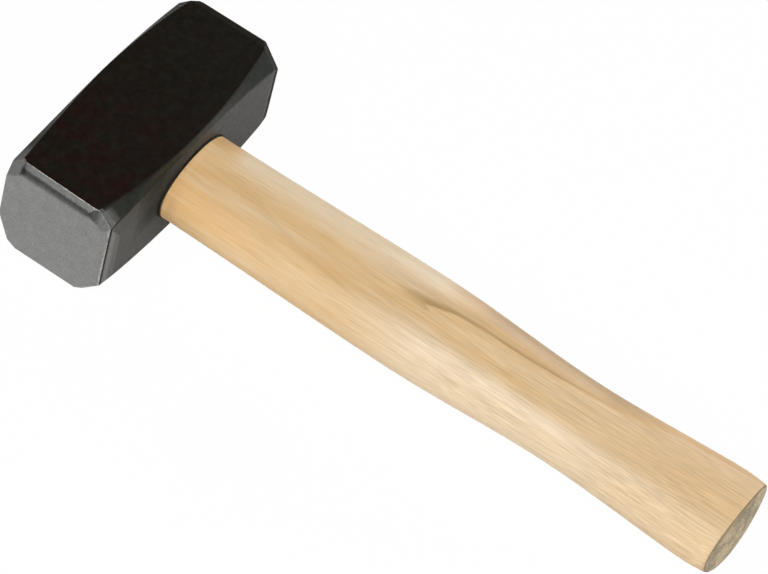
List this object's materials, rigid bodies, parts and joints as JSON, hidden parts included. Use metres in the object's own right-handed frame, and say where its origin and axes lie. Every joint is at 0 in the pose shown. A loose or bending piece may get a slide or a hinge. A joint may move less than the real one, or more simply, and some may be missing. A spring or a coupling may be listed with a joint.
{
  "type": "club hammer",
  "caption": "Short-handled club hammer: block steel head with bevelled striking faces and curved corner chamfers, wedged on an oval ash handle with a belly and waist.",
  "frame": {"origin": "middle of the lower cheek of the head, straight under the middle of the eye", "axes": "+X along the handle from the head to the butt, +Y the striking direction towards the far face, +Z out of the upper cheek; the hammer lies on its lower cheek at Z = 0"},
  "size_m": [0.284, 0.11, 0.045],
  "materials": {
    "forged_steel": "forged and hardened steel under a thin black lacquer, both striking faces and their bevels ground",
    "ash": "pale straight-grained ash, sanded smooth under thin clear lacquer",
    "wedge_wood": "darker hardwood, sawn, end grain trimmed flush with the handle's end",
    "wedge_steel": "mild steel as stamped, hammer-marked on the driven end"
  },
  "bodies": {
    "root": {"head": "forged_steel", "handle": "ash", "wood_wedge": "wedge_wood", "steel_wedge_near": "wedge_steel", "steel_wedge_far": "wedge_steel"}
  },
  "joints": []
}
